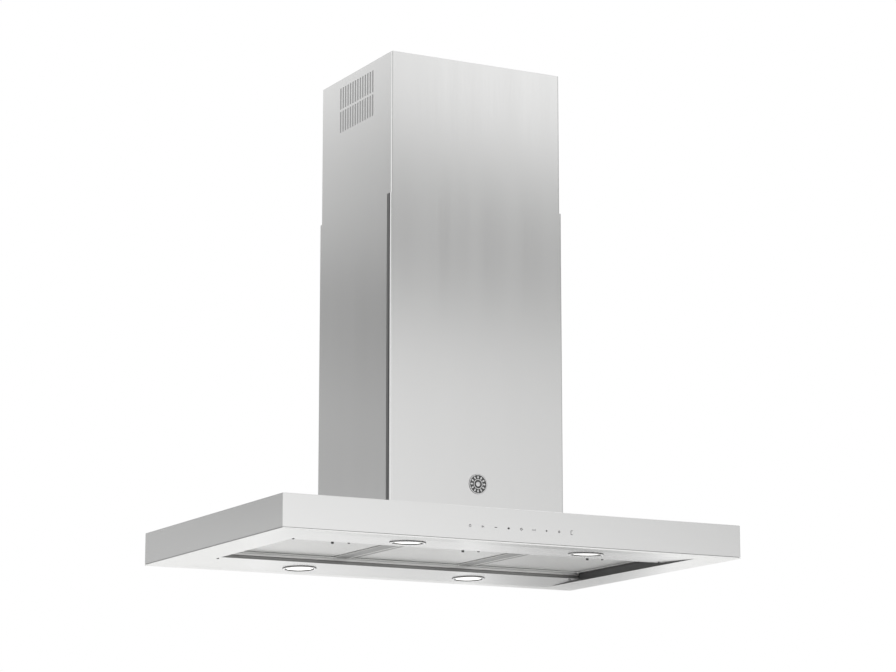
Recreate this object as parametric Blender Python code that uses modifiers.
"""Island range hood with a telescoping chimney.

The row frame: the origin is the centre of the ceiling mounting face, +Z is up, the front (with
the touch controls) faces -Y, and +X is to the right of someone who stands in front of the hood.
Everything is in metres. Four bodies of sheet metal hang from the ceiling plate: the fixed upper
frame and cover, the hood that slides up and down on the frame, the lower cover that lifts off
the canopy, and the three filters that swing down from the underside.
"""
from math import atan2, cos, pi, radians, sin, sqrt

import bmesh
import bpy
from mathutils import Matrix

# ---------------------------------------------------------------- driving dimensions
CANOPY_WIDTH = 0.900
CANOPY_DEPTH = 0.600
CANOPY_HEIGHT = 0.060
TOTAL_HEIGHT = 0.900
LOWER_COVER_WIDTH = 0.350
LOWER_COVER_DEPTH = 0.290
LOWER_COVER_HEIGHT = 0.576
COVER_SHEET = 0.001
COVER_SLIDE_GAP = 0.001
COVER_CORNER = 0.0015
SHEET = 0.0012
CLEAR = 0.0003                      # between pieces that touch on the real hood

CANOPY_BOTTOM = -TOTAL_HEIGHT
CANOPY_TOP = CANOPY_BOTTOM + CANOPY_HEIGHT
LOWER_COVER_TOP = CANOPY_TOP + LOWER_COVER_HEIGHT
UPPER_COVER_WIDTH = LOWER_COVER_WIDTH - 2 * (COVER_SHEET + COVER_SLIDE_GAP)
UPPER_COVER_DEPTH = LOWER_COVER_DEPTH - 2 * (COVER_SHEET + COVER_SLIDE_GAP)
UPPER_COVER_TOP = -0.002
UPPER_COVER_OVERLAP = 0.125         # how far the upper cover reaches down inside the lower one
UPPER_COVER_BOTTOM = LOWER_COVER_TOP - UPPER_COVER_OVERLAP

# The louvre in each side of the upper cover: two rows of upright slots.
LOUVRE_SLOTS = 14
LOUVRE_PITCH = 0.0102
LOUVRE_SLOT_WIDTH = 0.0052
LOUVRE_ROWS = ((-0.0595, -0.0190), (-0.1040, -0.0640))

# The frame: angle posts that nest in each other, and the plates between them.
POST_FLANGE = 0.025
POST_SHEET = 0.002
POST_INSET = 0.004                  # from the upper cover's inner face to the upper posts
POST_NEST_GAP = 0.0005
PLATE = 0.003
UPPER_POST_BOTTOM = -0.480
LOWER_POST_TOP = -0.360
BRACE_Z = (-0.250, -0.232)
BRACE_BAR = 0.010
FRAME_BASE_THICK = 0.002
CEILING_SCREW_X = 0.125
CEILING_SCREW_Y = 0.100
CEILING_SCREW_RADIUS = 0.0035

# The duct and the outlet collar, all round and on the Z axis.
ROUND_STEPS = 48
DUCT_WALL = 0.001
UPPER_DUCT_RADIUS = 0.0740
UPPER_DUCT_BOTTOM = -0.400
LOWER_DUCT_INNER = 0.0752
LOWER_DUCT_Z = (-0.545, -0.270)
COLLAR_RADIUS = 0.0745
COLLAR_WALL = 0.002
COLLAR_FLANGE = 0.086
COLLAR_TOP = -0.515

# The blower: a scroll on the X axis under a plate that hangs between the lower posts.
BLOWER_PLATE_Z = (-0.592, -0.590)
BLOWER_PLATE_OPENING = (0.055, 0.060)
SCROLL_Y = -0.040
SCROLL_Z = -0.715
SCROLL_HALF_WIDTH = 0.060
SCROLL_WALL = 0.0015
SCROLL_TONGUE_RADIUS = 0.079
SCROLL_STEPS = 30
THROAT_HALF_DEPTH = 0.068
INLET_RADIUS = 0.050
IMPELLER_RADIUS = 0.070
IMPELLER_HALF_WIDTH = 0.052
BLADES = 24
MOTOR_RADIUS = 0.045
MOTOR_X = (0.0700, 0.1220)
SHAFT_RADIUS = 0.004

# The back-draught damper: two half discs on one pin across the collar.
DAMPER_Z = -0.560
FLAP_RADIUS = 0.0705
FLAP_SHEET = 0.001
PIN_RADIUS = 0.0015
KNUCKLE_BORE = 0.0018
KNUCKLE_RADIUS = 0.0032

# The underside: a flat rim, sloping lamp panels and a well for three filters.
RIM_OPENING_X = 0.379
RIM_OPENING_Y = 0.268
RIM_WALL_HEIGHT = 0.020
WELL_Y = 0.147
PANEL_RISE = 0.0045
PANEL_WALL_TOP = CANOPY_BOTTOM + 0.024
LAMP_X = 0.177
LAMP_Y = 0.218
LAMP_HOLE_RADIUS = 0.0285
LAMP_BEZEL_RADIUS = 0.0325
LAMP_BEZEL = 0.0012
LAMP_BODY_RADIUS = 0.0275
LAMP_BODY_HEIGHT = 0.018
LAMP_RECESS_RADIUS = 0.0262
LAMP_RECESS = 0.0035
LENS_RADIUS = 0.0258
LENS_THICK = 0.002

FILTER_Z = (CANOPY_BOTTOM + 0.015, CANOPY_BOTTOM + 0.027)
FILTER_HALF_DEPTH = 0.143
FILTER_PIVOT_Y = 0.141
FILTERS = (("left", -0.3770, -0.1380), ("centre", -0.1170, 0.1170), ("right", 0.1380, 0.3770))
FILTER_BORDER = 0.010
FILTER_LIP = 0.0012
FILTER_GROOVE = 0.006
RAIL_X = 0.1275
RAIL_WIDTH = 0.0190
RAIL_Z = (CANOPY_BOTTOM + 0.0205, CANOPY_BOTTOM + 0.0390)

LATCH_SHIFT = 0.0175                # the latch sits right of its filter's middle
LATCH_TAB = (0.040, 0.014)
LATCH_Y = -0.086
LATCH_PROUD = 0.0016
LATCH_TRAVEL = 0.005
LATCH_STEM_WIDTH = 0.008
LATCH_TIP_Y = -0.1440

BADGE_RADIUS = 0.0180
BADGE_HEIGHT = 0.124                # its centre, above the canopy's underside
BADGE_THICK = 0.0008


# ---------------------------------------------------------------- helpers
def clear_scene():
    for obj in list(bpy.data.objects):
        bpy.data.objects.remove(obj, do_unlink=True)


def new_collection(name):
    collection = bpy.data.collections.new(name)
    bpy.context.scene.collection.children.link(collection)
    return collection


def new_material(name, colour, metallic, roughness):
    material = bpy.data.materials.new(name)
    material.use_nodes = True
    shader = material.node_tree.nodes["Principled BSDF"]
    shader.inputs["Base Color"].default_value = (*colour, 1.0)
    shader.inputs["Metallic"].default_value = metallic
    shader.inputs["Roughness"].default_value = roughness
    return material


def mesh_from(bm, name):
    mesh = bpy.data.meshes.new(name)
    bm.to_mesh(mesh)
    bm.free()
    return mesh


def boxes_mesh(name, boxes, centre=(0, 0, 0)):
    """One mesh with a box for each (low corner, high corner), measured from a centre."""
    bm = bmesh.new()
    for low, high in boxes:
        size = [b - a for a, b in zip(low, high)]
        middle = [(a + b) / 2 - c for a, b, c in zip(low, high, centre)]
        place = Matrix.Translation(middle) @ Matrix.Diagonal((*size, 1))
        bmesh.ops.create_cube(bm, size=1, matrix=place)
    return mesh_from(bm, name)


def add_part(name, mesh, material, location=(0, 0, 0), rotation=(0, 0, 0)):
    obj = bpy.data.objects.new(name, mesh)
    obj.location = location
    obj.rotation_euler = rotation
    mesh.materials.clear()
    mesh.materials.append(material)
    parts.objects.link(obj)
    return obj


def box_part(name, low, high, material):
    """A box from its corners, with its origin at its middle."""
    centre = [(a + b) / 2 for a, b in zip(low, high)]
    return add_part(name, boxes_mesh(name, [(low, high)], centre), material, centre)


def add_cutter(name, mesh, location=(0, 0, 0), rotation=(0, 0, 0)):
    obj = bpy.data.objects.new(name, mesh)
    obj.location = location
    obj.rotation_euler = rotation
    obj.hide_render = True
    obj.display_type = 'WIRE'
    cutters.objects.link(obj)
    return obj


def box_cutter(name, *boxes):
    return add_cutter(name, boxes_mesh(name, boxes))


def round_cutter(name, radius, length, location, rotation=(0, 0, 0), steps=ROUND_STEPS):
    bm = bmesh.new()
    bmesh.ops.create_cone(bm, cap_ends=True, segments=steps, radius1=radius, radius2=radius,
                          depth=length)
    return add_cutter(name, mesh_from(bm, name), location, rotation)


def combine(obj, other, operation='DIFFERENCE'):
    modifier = obj.modifiers.new(other.name, 'BOOLEAN')
    modifier.operation = operation
    modifier.solver = 'EXACT'
    modifier.object = other


def round_off(obj, width, segments=2):
    modifier = obj.modifiers.new("edges", 'BEVEL')
    modifier.width = width
    modifier.segments = segments
    modifier.limit_method = 'ANGLE'
    modifier.angle_limit = radians(40)


def turned_part(name, profile, material, location=(0, 0, 0), rotation=(0, 0, 0), closed=False,
                steps=ROUND_STEPS):
    """A profile of (radius, height) turned about its Z axis. It runs down its outer side."""
    mesh = bpy.data.meshes.new(name)
    vertices = [(radius, 0, height) for radius, height in profile]
    edges = [(i, i + 1) for i in range(len(profile) - 1)]
    if closed:
        edges.append((len(profile) - 1, 0))
    mesh.from_pydata(vertices, edges, [])
    obj = add_part(name, mesh, material, location, rotation)
    screw = obj.modifiers.new("turn", 'SCREW')
    screw.steps = steps
    screw.render_steps = steps
    screw.use_merge_vertices = True
    screw.merge_threshold = 0.00001
    screw.use_smooth_shade = True
    return obj


def tube_profile(outer, wall, z_range):
    low, high = z_range
    return [(outer, high), (outer, low), (outer - wall, low), (outer - wall, high)]


def outline_mesh(name, points, thickness):
    """A flat outline in X and Y, thickened along Z, with its caps welded."""
    curve = bpy.data.curves.new(name, 'CURVE')
    curve.dimensions = '2D'
    curve.fill_mode = 'BOTH'
    curve.extrude = thickness / 2
    spline = curve.splines.new('POLY')
    spline.points.add(len(points) - 1)
    for point, (x, y) in zip(spline.points, points):
        point.co = (x, y, 0, 1)
    spline.use_cyclic_u = True
    guide = bpy.data.objects.new(name + "_outline", curve)
    cutters.objects.link(guide)
    graph = bpy.context.evaluated_depsgraph_get()
    mesh = bpy.data.meshes.new_from_object(guide.evaluated_get(graph))
    bpy.data.objects.remove(guide, do_unlink=True)
    bm = bmesh.new()
    bm.from_mesh(mesh)
    bmesh.ops.remove_doubles(bm, verts=bm.verts, dist=0.00001)
    bmesh.ops.recalc_face_normals(bm, faces=bm.faces)
    bpy.data.meshes.remove(mesh)
    return mesh_from(bm, name)


def arc(centre, radius, start, end, count):
    """Points along an arc, from one angle to another, both ends included."""
    angles = [start + (end - start) * i / count for i in range(count + 1)]
    return [(centre[0] + radius * cos(a), centre[1] + radius * sin(a)) for a in angles]


def on_pivot(name, location, children):
    """Parents pieces to an empty that stands on their joint's axis, without moving them."""
    pivot = bpy.data.objects.new(name, None)
    pivot.location = location
    pivot.empty_display_size = 0.02
    cutters.objects.link(pivot)
    for child in children:
        child.parent = pivot
        child.matrix_parent_inverse = Matrix.Translation(location).inverted()


# ---------------------------------------------------------------- chimney covers
def wrap_outline(width, depth):
    """The front and both sides of a chimney cover, seen from above, as one folded sheet."""
    x, y = width / 2, depth / 2
    r, t = COVER_CORNER, COVER_SHEET
    inner = r - t
    points = [(-x, y), *arc((-x + r, -y + r), r, pi, 1.5 * pi, 3)]
    points += [*arc((x - r, -y + r), r, 1.5 * pi, 2 * pi, 3), (x, y), (x - t, y)]
    points += [*arc((x - r, -y + r), inner, 2 * pi, 1.5 * pi, 3)]
    points += [*arc((-x + r, -y + r), inner, 1.5 * pi, pi, 3), (-x + t, y)]
    return points


def make_cover(name, width, depth, z_range):
    low, high = z_range
    mesh = outline_mesh(name + "_front", wrap_outline(width, depth), high - low)
    front = add_part(name + "_front", mesh, steel, (0, 0, (low + high) / 2))
    x = width / 2 - COVER_SHEET - CLEAR
    back_low = (-x, depth / 2 - COVER_SHEET, low)
    box_part(name + "_back", back_low, (x, depth / 2, high), steel)
    return front


def make_chimney():
    upper = make_cover("upper_chimney", UPPER_COVER_WIDTH, UPPER_COVER_DEPTH,
                       (UPPER_COVER_BOTTOM, UPPER_COVER_TOP))
    slots = []
    for low, high in LOUVRE_ROWS:
        for i in range(LOUVRE_SLOTS):
            y = (i - (LOUVRE_SLOTS - 1) / 2) * LOUVRE_PITCH
            half = LOUVRE_SLOT_WIDTH / 2
            slots.append(((-UPPER_COVER_WIDTH, y - half, low), (UPPER_COVER_WIDTH, y + half, high)))
    combine(upper, box_cutter("louvre_cutter", *slots))

    make_cover("lower_chimney", LOWER_COVER_WIDTH, LOWER_COVER_DEPTH,
               (CANOPY_TOP + CLEAR, LOWER_COVER_TOP))
    face = -LOWER_COVER_DEPTH / 2 - CLEAR
    profile = [(0, BADGE_THICK), (BADGE_RADIUS - 0.0003, BADGE_THICK),
               (BADGE_RADIUS, BADGE_THICK - 0.0003), (BADGE_RADIUS, 0), (0, 0)]
    turned_part("badge", profile, badge_metal, (0, face, CANOPY_BOTTOM + BADGE_HEIGHT),
                (pi / 2, 0, 0))


# ---------------------------------------------------------------- ceiling plate, frame and ducts
def post_mesh(name, corner_x, corner_y, length):
    """An angle section whose outer corner is at (corner_x, corner_y), flanges turned inwards."""
    dx = POST_FLANGE if corner_x < 0 else -POST_FLANGE
    dy = POST_FLANGE if corner_y < 0 else -POST_FLANGE
    tx = POST_SHEET if corner_x < 0 else -POST_SHEET
    ty = POST_SHEET if corner_y < 0 else -POST_SHEET
    points = [(0, 0), (dx, 0), (dx, ty), (tx, ty), (tx, dy), (0, dy)]
    return outline_mesh(name, points, length)


def make_posts(prefix, outer_x, outer_y, z_range, material):
    low, high = z_range
    for side_y, sign_y in (("front", -1), ("rear", 1)):
        for side_x, sign_x in (("left", -1), ("right", 1)):
            name = f"{prefix}_{side_y}_{side_x}"
            x, y = sign_x * outer_x, sign_y * outer_y
            mesh = post_mesh(name, x, y, high - low)
            add_part(name, mesh, material, (x, y, (low + high) / 2))


def make_ceiling_frame():
    x = UPPER_COVER_WIDTH / 2 - COVER_SHEET - POST_INSET
    y = UPPER_COVER_DEPTH / 2 - COVER_SHEET - POST_INSET
    plate = box_part("ceiling_plate", (-x, -y, -PLATE), (x, y, 0), galvanised)
    combine(plate, round_cutter("ceiling_duct_hole", UPPER_DUCT_RADIUS + CLEAR, 0.02, (0, 0, 0)))
    for i, (sx, sy) in enumerate(((-1, -1), (1, -1), (-1, 1), (1, 1))):
        place = (sx * CEILING_SCREW_X, sy * CEILING_SCREW_Y, 0)
        hole = round_cutter(f"ceiling_screw_hole_{i}", CEILING_SCREW_RADIUS, 0.02, place, steps=16)
        combine(plate, hole)

    make_posts("upper_post", x, y, (UPPER_POST_BOTTOM, -PLATE - CLEAR), galvanised)
    bx, by = x - POST_SHEET - CLEAR, y - POST_SHEET - CLEAR
    brace = box_part("upper_brace", (-bx, -by, BRACE_Z[0]), (bx, by, BRACE_Z[1]), galvanised)
    opening = box_cutter("upper_brace_opening", ((-bx + BRACE_BAR, -by + BRACE_BAR, -1),
                                                 (bx - BRACE_BAR, by - BRACE_BAR, 0)))
    combine(brace, opening)

    nest = POST_SHEET + POST_NEST_GAP
    foot = CANOPY_TOP + CLEAR + FRAME_BASE_THICK + CLEAR
    make_posts("lower_post", x - nest, y - nest, (foot, LOWER_POST_TOP), galvanised)
    base_low = CANOPY_TOP + CLEAR
    base = box_part("frame_base", (-x - 0.002, -y - 0.002, base_low),
                    (x + 0.002, y + 0.002, base_low + FRAME_BASE_THICK), galvanised)
    combine(base, box_cutter("frame_base_opening", ((-0.135, -0.105, -1), (0.135, 0.105, 0))))

    px, py = x - nest - POST_SHEET - CLEAR, y - nest - POST_SHEET - CLEAR
    plate = box_part("blower_plate", (-px, -py, BLOWER_PLATE_Z[0]), (px, py, BLOWER_PLATE_Z[1]),
                     galvanised)
    x, y = BLOWER_PLATE_OPENING
    combine(plate, box_cutter("blower_plate_opening", ((-x, -y, -1), (x, y, 0))))


def make_ducts():
    upper = tube_profile(UPPER_DUCT_RADIUS, DUCT_WALL, (UPPER_DUCT_BOTTOM, -0.0010))
    turned_part("duct_upper", upper, duct_metal, closed=True)
    lower = tube_profile(LOWER_DUCT_INNER + DUCT_WALL, DUCT_WALL, LOWER_DUCT_Z)
    turned_part("duct_lower", lower, duct_metal, closed=True)


# ---------------------------------------------------------------- blower and damper
def scroll_outline(inset, top):
    """The blower housing's side: a spiral that opens into an upright throat. X is the row's Y."""
    half = THROAT_HALF_DEPTH
    tongue_height = sqrt(SCROLL_TONGUE_RADIUS ** 2 - (half + SCROLL_Y) ** 2)
    start = atan2(tongue_height, -half - SCROLL_Y)
    points = []
    for i in range(SCROLL_STEPS + 1):
        share = i / SCROLL_STEPS
        angle = start + share * (2 * pi - start)
        radius = SCROLL_TONGUE_RADIUS + share * (half - SCROLL_Y - SCROLL_TONGUE_RADIUS) - inset
        points.append((SCROLL_Y + radius * cos(angle), SCROLL_Z + radius * sin(angle)))
    points += [(half - inset, top), (-half + inset, top)]
    points.append((-half + inset, points[0][1] + inset))
    return points


ALONG_X = (pi / 2, 0, pi / 2)       # turns an outline so that X, Y, Z become Y, Z, X
TURNED_X = (0, pi / 2, 0)           # turns a turned part's axis from Z to +X
TURNED_MINUS_X = (0, -pi / 2, 0)


def make_blower():
    top = BLOWER_PLATE_Z[0] - CLEAR
    outer = outline_mesh("blower_housing", scroll_outline(0, top), 2 * SCROLL_HALF_WIDTH)
    housing = add_part("blower_housing", outer, galvanised, rotation=ALONG_X)
    cavity = outline_mesh("scroll_cavity", scroll_outline(SCROLL_WALL, top + 0.02),
                          2 * (SCROLL_HALF_WIDTH - SCROLL_WALL))
    combine(housing, add_cutter("scroll_cavity", cavity, rotation=ALONG_X))
    axis = (0, SCROLL_Y, SCROLL_Z)
    combine(housing, round_cutter("scroll_inlets", INLET_RADIUS + 0.004, 0.2, axis, TURNED_X))

    ring = [(0.054, 0.0057), (0.062, 0.0015), (0.062, 0), (INLET_RADIUS, 0), (INLET_RADIUS, 0.0057)]
    ring_x = SCROLL_HALF_WIDTH + CLEAR
    turned_part("inlet_ring_right", ring, black_plastic, (ring_x, SCROLL_Y, SCROLL_Z), TURNED_X,
                closed=True)
    turned_part("inlet_ring_left", ring, black_plastic, (-ring_x, SCROLL_Y, SCROLL_Z),
                TURNED_MINUS_X, closed=True)

    bar_low = (0.0663, SCROLL_Y - 0.061, SCROLL_Z - 0.010)
    bar = box_part("motor_bracket", bar_low, (0.0693, SCROLL_Y + 0.061, SCROLL_Z + 0.010),
                   galvanised)
    combine(bar, round_cutter("motor_bracket_hole", 0.007, 0.02, (0.068, SCROLL_Y, SCROLL_Z),
                              TURNED_X, steps=24))
    near, far = MOTOR_X
    bore = SHAFT_RADIUS + 0.0005
    motor = [(0, far), (MOTOR_RADIUS - 0.005, far), (MOTOR_RADIUS, far - 0.005),
             (MOTOR_RADIUS, near), (bore, near), (bore, near + 0.022), (0, near + 0.022)]
    turned_part("blower_motor", motor, motor_black, axis, TURNED_X)

    hub, web = 0.012, 0.00075
    inner = IMPELLER_RADIUS - 0.008
    w = IMPELLER_HALF_WIDTH
    drum = [(0, near + 0.020), (SHAFT_RADIUS, near + 0.020), (SHAFT_RADIUS, hub), (hub, hub),
            (hub, web), (inner, web), (inner, w), (IMPELLER_RADIUS, w), (IMPELLER_RADIUS, -w),
            (inner, -w), (inner, -web), (hub, -web), (hub, -hub), (0, -hub)]
    impeller = turned_part("impeller", drum, black_plastic, axis, TURNED_X)
    combine(impeller, make_blade_slots(axis))


def make_blade_slots(axis):
    """Slots through the drum's wall, in two rows, that leave the blades standing."""
    bm = bmesh.new()
    slot = (0.020, 0.0105, IMPELLER_HALF_WIDTH - 0.010)
    for i in range(BLADES):
        for side in (-1, 1):
            spin = Matrix.Rotation(2 * pi * (i + 0.5) / BLADES, 4, 'Z')
            move = Matrix.Translation((IMPELLER_RADIUS - 0.004, 0, side * IMPELLER_HALF_WIDTH / 2))
            slant = Matrix.Rotation(radians(25), 4, 'Z')
            place = spin @ move @ slant @ Matrix.Diagonal((*slot, 1))
            bmesh.ops.create_cube(bm, size=1, matrix=place)
    return add_cutter("blade_slots", mesh_from(bm, "blade_slots"), axis, TURNED_X)


def make_damper():
    low = BLOWER_PLATE_Z[1] + CLEAR
    inner = COLLAR_RADIUS - COLLAR_WALL
    collar = [(COLLAR_RADIUS, COLLAR_TOP), (COLLAR_RADIUS, low + 0.002),
              (COLLAR_FLANGE, low + 0.002), (COLLAR_FLANGE, low), (inner, low), (inner, COLLAR_TOP)]
    turned_part("outlet_collar", collar, black_plastic, closed=True)

    length = 2 * (inner - CLEAR)
    bm = bmesh.new()
    bmesh.ops.create_cone(bm, cap_ends=True, segments=16, radius1=PIN_RADIUS, radius2=PIN_RADIUS,
                          depth=length)
    add_part("damper_pin", mesh_from(bm, "damper_pin"), galvanised, (0, 0, DAMPER_Z),
             (pi / 2, 0, 0))
    make_flap("damper_flap_left", -1, ((-0.056, -0.036), (0.006, 0.026)))
    make_flap("damper_flap_right", 1, ((-0.026, -0.006), (0.036, 0.056)))


def make_flap(name, side, knuckles):
    """A half disc beside the pin, with two knuckles that turn on it."""
    bm = bmesh.new()
    bmesh.ops.create_cone(bm, cap_ends=True, segments=ROUND_STEPS, radius1=FLAP_RADIUS,
                          radius2=FLAP_RADIUS, depth=FLAP_SHEET)
    flap = add_part(name, mesh_from(bm, name), flap_plastic, (0, 0, DAMPER_Z))
    far = 2 * FLAP_RADIUS
    near = KNUCKLE_RADIUS + 0.0006
    edge = sorted((side * near, -side * far))
    combine(flap, box_cutter(name + "_half", ((edge[0], -far, DAMPER_Z - 0.01),
                                              (edge[1], far, DAMPER_Z + 0.01))))
    for i, (start, end) in enumerate(knuckles):
        middle = (0, (start + end) / 2, DAMPER_Z)
        barrel = round_cutter(f"{name}_knuckle_{i}", KNUCKLE_RADIUS, end - start, middle,
                              (pi / 2, 0, 0), steps=20)
        web_x = sorted((side * 0.0010, side * (near + 0.002)))
        web = box_cutter(f"{name}_web_{i}", ((web_x[0], start, DAMPER_Z - FLAP_SHEET),
                                             (web_x[1], end, DAMPER_Z + FLAP_SHEET)))
        combine(flap, barrel, 'UNION')
        combine(flap, web, 'UNION')
    combine(flap, round_cutter(name + "_bore", KNUCKLE_BORE, far, (0, 0, DAMPER_Z),
                               (pi / 2, 0, 0), steps=20))


# ---------------------------------------------------------------- canopy and underside
def make_canopy():
    x, y = CANOPY_WIDTH / 2, CANOPY_DEPTH / 2
    shell = box_part("canopy_shell", (-x, -y, CANOPY_BOTTOM), (x, y, CANOPY_TOP), steel)
    round_off(shell, 0.0010)
    hollow = ((-x + SHEET, -y + SHEET, CANOPY_BOTTOM - 0.01), (x - SHEET, y - SHEET,
                                                               CANOPY_TOP - SHEET))
    combine(shell, box_cutter("canopy_hollow", hollow))
    combine(shell, box_cutter("canopy_air_opening", ((-0.120, -0.100, CANOPY_BOTTOM),
                                                     (0.120, 0.100, 0))))

    x, y = x - SHEET - CLEAR, y - SHEET - CLEAR
    low = CANOPY_BOTTOM
    rim = box_part("underside_rim", (-x, -y, low), (x, y, low + SHEET), steel)
    wall_x, wall_y = RIM_OPENING_X + SHEET, RIM_OPENING_Y + SHEET
    wall = box_cutter("rim_wall", ((-wall_x, -wall_y, low),
                                   (wall_x, wall_y, low + RIM_WALL_HEIGHT)))
    combine(rim, wall, 'UNION')
    combine(rim, box_cutter("rim_opening", ((-RIM_OPENING_X, -RIM_OPENING_Y, low - 0.01),
                                            (RIM_OPENING_X, RIM_OPENING_Y, 0))))
    for name, side in (("left", -1), ("right", 1)):
        make_rail("filter_rail_" + name, side * RAIL_X)


def make_rail(name, x):
    """A channel between two filters, open at the top."""
    half, end = RAIL_WIDTH / 2, WELL_Y - SHEET - CLEAR
    low, high = RAIL_Z
    rail = box_part(name, (x - half, -end, low), (x + half, end, high), rail_steel)
    hollow = ((x - half + SHEET, -1, low + SHEET), (x + half - SHEET, 1, 0))
    combine(rail, box_cutter(name + "_hollow", hollow))


def make_lamp_panel(name, side):
    """A sheet that slopes up from the rim to the well, then turns up beside the filters."""
    outer_y = side * (RIM_OPENING_Y - CLEAR)
    well_y = side * WELL_Y
    rows = ((outer_y, CANOPY_BOTTOM + CLEAR), (well_y, CANOPY_BOTTOM + PANEL_RISE),
            (well_y, PANEL_WALL_TOP))
    bm = bmesh.new()
    bmesh.ops.create_grid(bm, x_segments=1, y_segments=2, size=1)
    for vertex in bm.verts:
        row = rows[round(vertex.co.y) + 1]
        vertex.co = (vertex.co.x * (RIM_OPENING_X - CLEAR), *row)
    bmesh.ops.recalc_face_normals(bm, faces=bm.faces)
    panel = add_part(name, mesh_from(bm, name), steel)
    thicken = panel.modifiers.new("sheet", 'SOLIDIFY')
    thicken.thickness = SHEET
    thicken.use_even_offset = True
    thicken.offset = -1 if panel.data.polygons[0].normal.z < 0 else 1
    return panel


def make_lamps():
    run = RIM_OPENING_Y - CLEAR - WELL_Y
    tilt = atan2(PANEL_RISE - CLEAR, run)
    height = CANOPY_BOTTOM + CLEAR + (RIM_OPENING_Y - CLEAR - LAMP_Y) * (PANEL_RISE - CLEAR) / run
    gap = -CLEAR
    body_top = LAMP_BODY_HEIGHT
    bezel_low = gap - LAMP_BEZEL
    floor = bezel_low + LAMP_RECESS
    housing = [(0, body_top), (LAMP_BODY_RADIUS - 0.002, body_top),
               (LAMP_BODY_RADIUS, body_top - 0.002), (LAMP_BODY_RADIUS, gap),
               (LAMP_BEZEL_RADIUS, gap), (LAMP_BEZEL_RADIUS - 0.0005, bezel_low),
               (LAMP_RECESS_RADIUS, bezel_low), (LAMP_RECESS_RADIUS, floor), (0, floor)]
    lens = [(0, floor - CLEAR), (LENS_RADIUS, floor - CLEAR),
            (LENS_RADIUS, floor - CLEAR - LENS_THICK), (0, floor - CLEAR - LENS_THICK)]
    for place_y, side_y in (("front", -1), ("rear", 1)):
        panel = make_lamp_panel("lamp_panel_" + place_y, side_y)
        for place_x, side_x in (("left", -1), ("right", 1)):
            name = f"{place_y}_{place_x}"
            place = (side_x * LAMP_X, side_y * LAMP_Y, height)
            turn = (-side_y * tilt, 0, 0)
            combine(panel, round_cutter("lamp_hole_" + name, LAMP_HOLE_RADIUS, 0.02, place, turn))
            turned_part("lamp_housing_" + name, housing, lamp_metal, place, turn)
            turned_part("lamp_lens_" + name, lens, lamp_glass, place, turn)


def make_filters():
    low, high = FILTER_Z
    y = FILTER_HALF_DEPTH
    for place, left, right in FILTERS:
        frame = box_part("filter_frame_" + place, (left, -y, low), (right, y, high), filter_metal)
        b, g = FILTER_BORDER, FILTER_GROOVE
        window = ((left + b, -y + b, low - 0.01), (right - b, y - b, high + 0.01))
        groove = ((left + g, -y + g, low + FILTER_LIP), (right - g, y - g, high - FILTER_LIP))
        combine(frame, box_cutter("filter_window_" + place, window))
        combine(frame, box_cutter("filter_groove_" + place, groove))
        g, lip = g + CLEAR, FILTER_LIP + CLEAR
        mesh = box_part("filter_mesh_" + place, (left + g, -y + g, low + lip),
                        (right - g, y - g, high - lip), mesh_metal)
        latch = make_latch(place, (left + right) / 2 + LATCH_SHIFT, frame, mesh)
        on_pivot(f"filter_{place}_pivot", (0, FILTER_PIVOT_Y, low), (frame, mesh, latch))


def make_latch(place, x, frame, mesh):
    """A finger tab in a pocket of the filter, with a stem that runs out through its front."""
    low = FILTER_Z[0]
    width, depth = LATCH_TAB
    stem_low, top = low + 0.0021, low + 0.0040
    tab_low = (x - width / 2, LATCH_Y - depth / 2, low - LATCH_PROUD)
    latch = box_part("filter_latch_" + place, tab_low, (x + width / 2, LATCH_Y + depth / 2, top),
                     rail_steel)
    half = LATCH_STEM_WIDTH / 2
    combine(latch, box_cutter("latch_stem_" + place, ((x - half, LATCH_TIP_Y, stem_low),
                                                      (x + half, LATCH_Y, top))), 'UNION')
    room = 0.0025
    pocket = ((x - width / 2 - room, LATCH_Y - depth / 2 - room, low - 0.01),
              (x + width / 2 + room, LATCH_Y + depth / 2 + LATCH_TRAVEL + room, top + 0.0005))
    channel = ((x - half - 0.001, -1, low + FILTER_LIP + 0.0003),
               (x + half + 0.001, LATCH_Y, top + 0.0005))
    combine(mesh, box_cutter("latch_pocket_" + place, pocket))
    cutter = box_cutter("latch_channel_" + place, channel)
    combine(mesh, cutter)
    combine(frame, cutter)
    return latch


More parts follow.
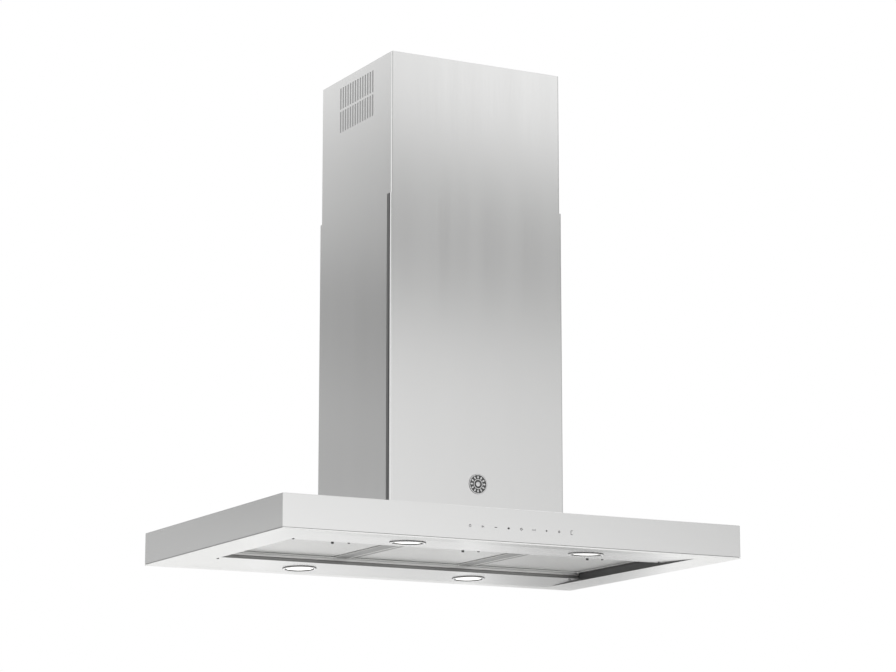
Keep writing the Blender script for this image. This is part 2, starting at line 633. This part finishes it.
# ---------------------------------------------------------------- electrics
def make_electrics():
    front = -CANOPY_DEPTH / 2 + SHEET + CLEAR
    box_part("control_board", (-0.125, front, CANOPY_BOTTOM + 0.014),
             (0.135, front + 0.0016, CANOPY_BOTTOM + 0.038), board_green)

    case_low, case_high = (-0.445, -0.120, -0.892), (-0.385, 0.120, -0.846)
    case = box_part("electronics_case", case_low, case_high, black_plastic)
    wall = 0.002
    inside = (tuple(v + wall for v in case_low), (case_high[0] - wall, case_high[1] - wall, 0))
    combine(case, box_cutter("electronics_case_hollow", inside))
    box_part("power_board", (-0.440, -0.115, -0.884), (-0.390, 0.115, -0.8824), board_green)
    driver = box_part("lamp_driver", (0.390, -0.080, -0.892), (0.440, 0.080, -0.862), white_plastic)
    round_off(driver, 0.002)

    low, high = (-0.138, 0.060, BLOWER_PLATE_Z[1] + CLEAR), (-0.088, 0.105, -0.545)
    terminal = box_part("terminal_box", low, high, black_plastic)
    inside = ((low[0] + wall, low[1] + wall, low[2] + wall), (high[0] - wall, high[1] - wall, 0))
    combine(terminal, box_cutter("terminal_box_hollow", inside))


clear_scene()
parts = new_collection("island_range_hood")
cutters = new_collection("cutters")
steel = new_material("brushed_steel", (0.62, 0.62, 0.61), 1.0, 0.32)
rail_steel = new_material("satin_steel", (0.50, 0.50, 0.49), 1.0, 0.40)
galvanised = new_material("galvanised_steel", (0.55, 0.57, 0.58), 1.0, 0.50)
duct_metal = new_material("duct_aluminium", (0.75, 0.76, 0.77), 1.0, 0.35)
filter_metal = new_material("filter_frame_metal", (0.66, 0.66, 0.65), 1.0, 0.35)
mesh_metal = new_material("filter_mesh_metal", (0.60, 0.60, 0.59), 1.0, 0.45)
lamp_metal = new_material("lamp_bezel_metal", (0.70, 0.70, 0.70), 1.0, 0.20)
lamp_glass = new_material("lamp_lens_glass", (0.95, 0.95, 0.93), 0.0, 0.30)
badge_metal = new_material("badge_metal", (0.30, 0.30, 0.31), 1.0, 0.35)
black_plastic = new_material("black_plastic", (0.03, 0.03, 0.03), 0.0, 0.50)
flap_plastic = new_material("flap_plastic", (0.20, 0.20, 0.21), 0.0, 0.55)
white_plastic = new_material("white_plastic", (0.80, 0.80, 0.78), 0.0, 0.45)
motor_black = new_material("motor_black", (0.05, 0.05, 0.055), 0.6, 0.45)
board_green = new_material("circuit_board", (0.04, 0.20, 0.09), 0.0, 0.45)

make_ceiling_frame()
make_ducts()
make_chimney()
make_blower()
make_damper()
make_canopy()
make_lamps()
make_filters()
make_electrics()
print("sub-parts:", len(parts.objects))
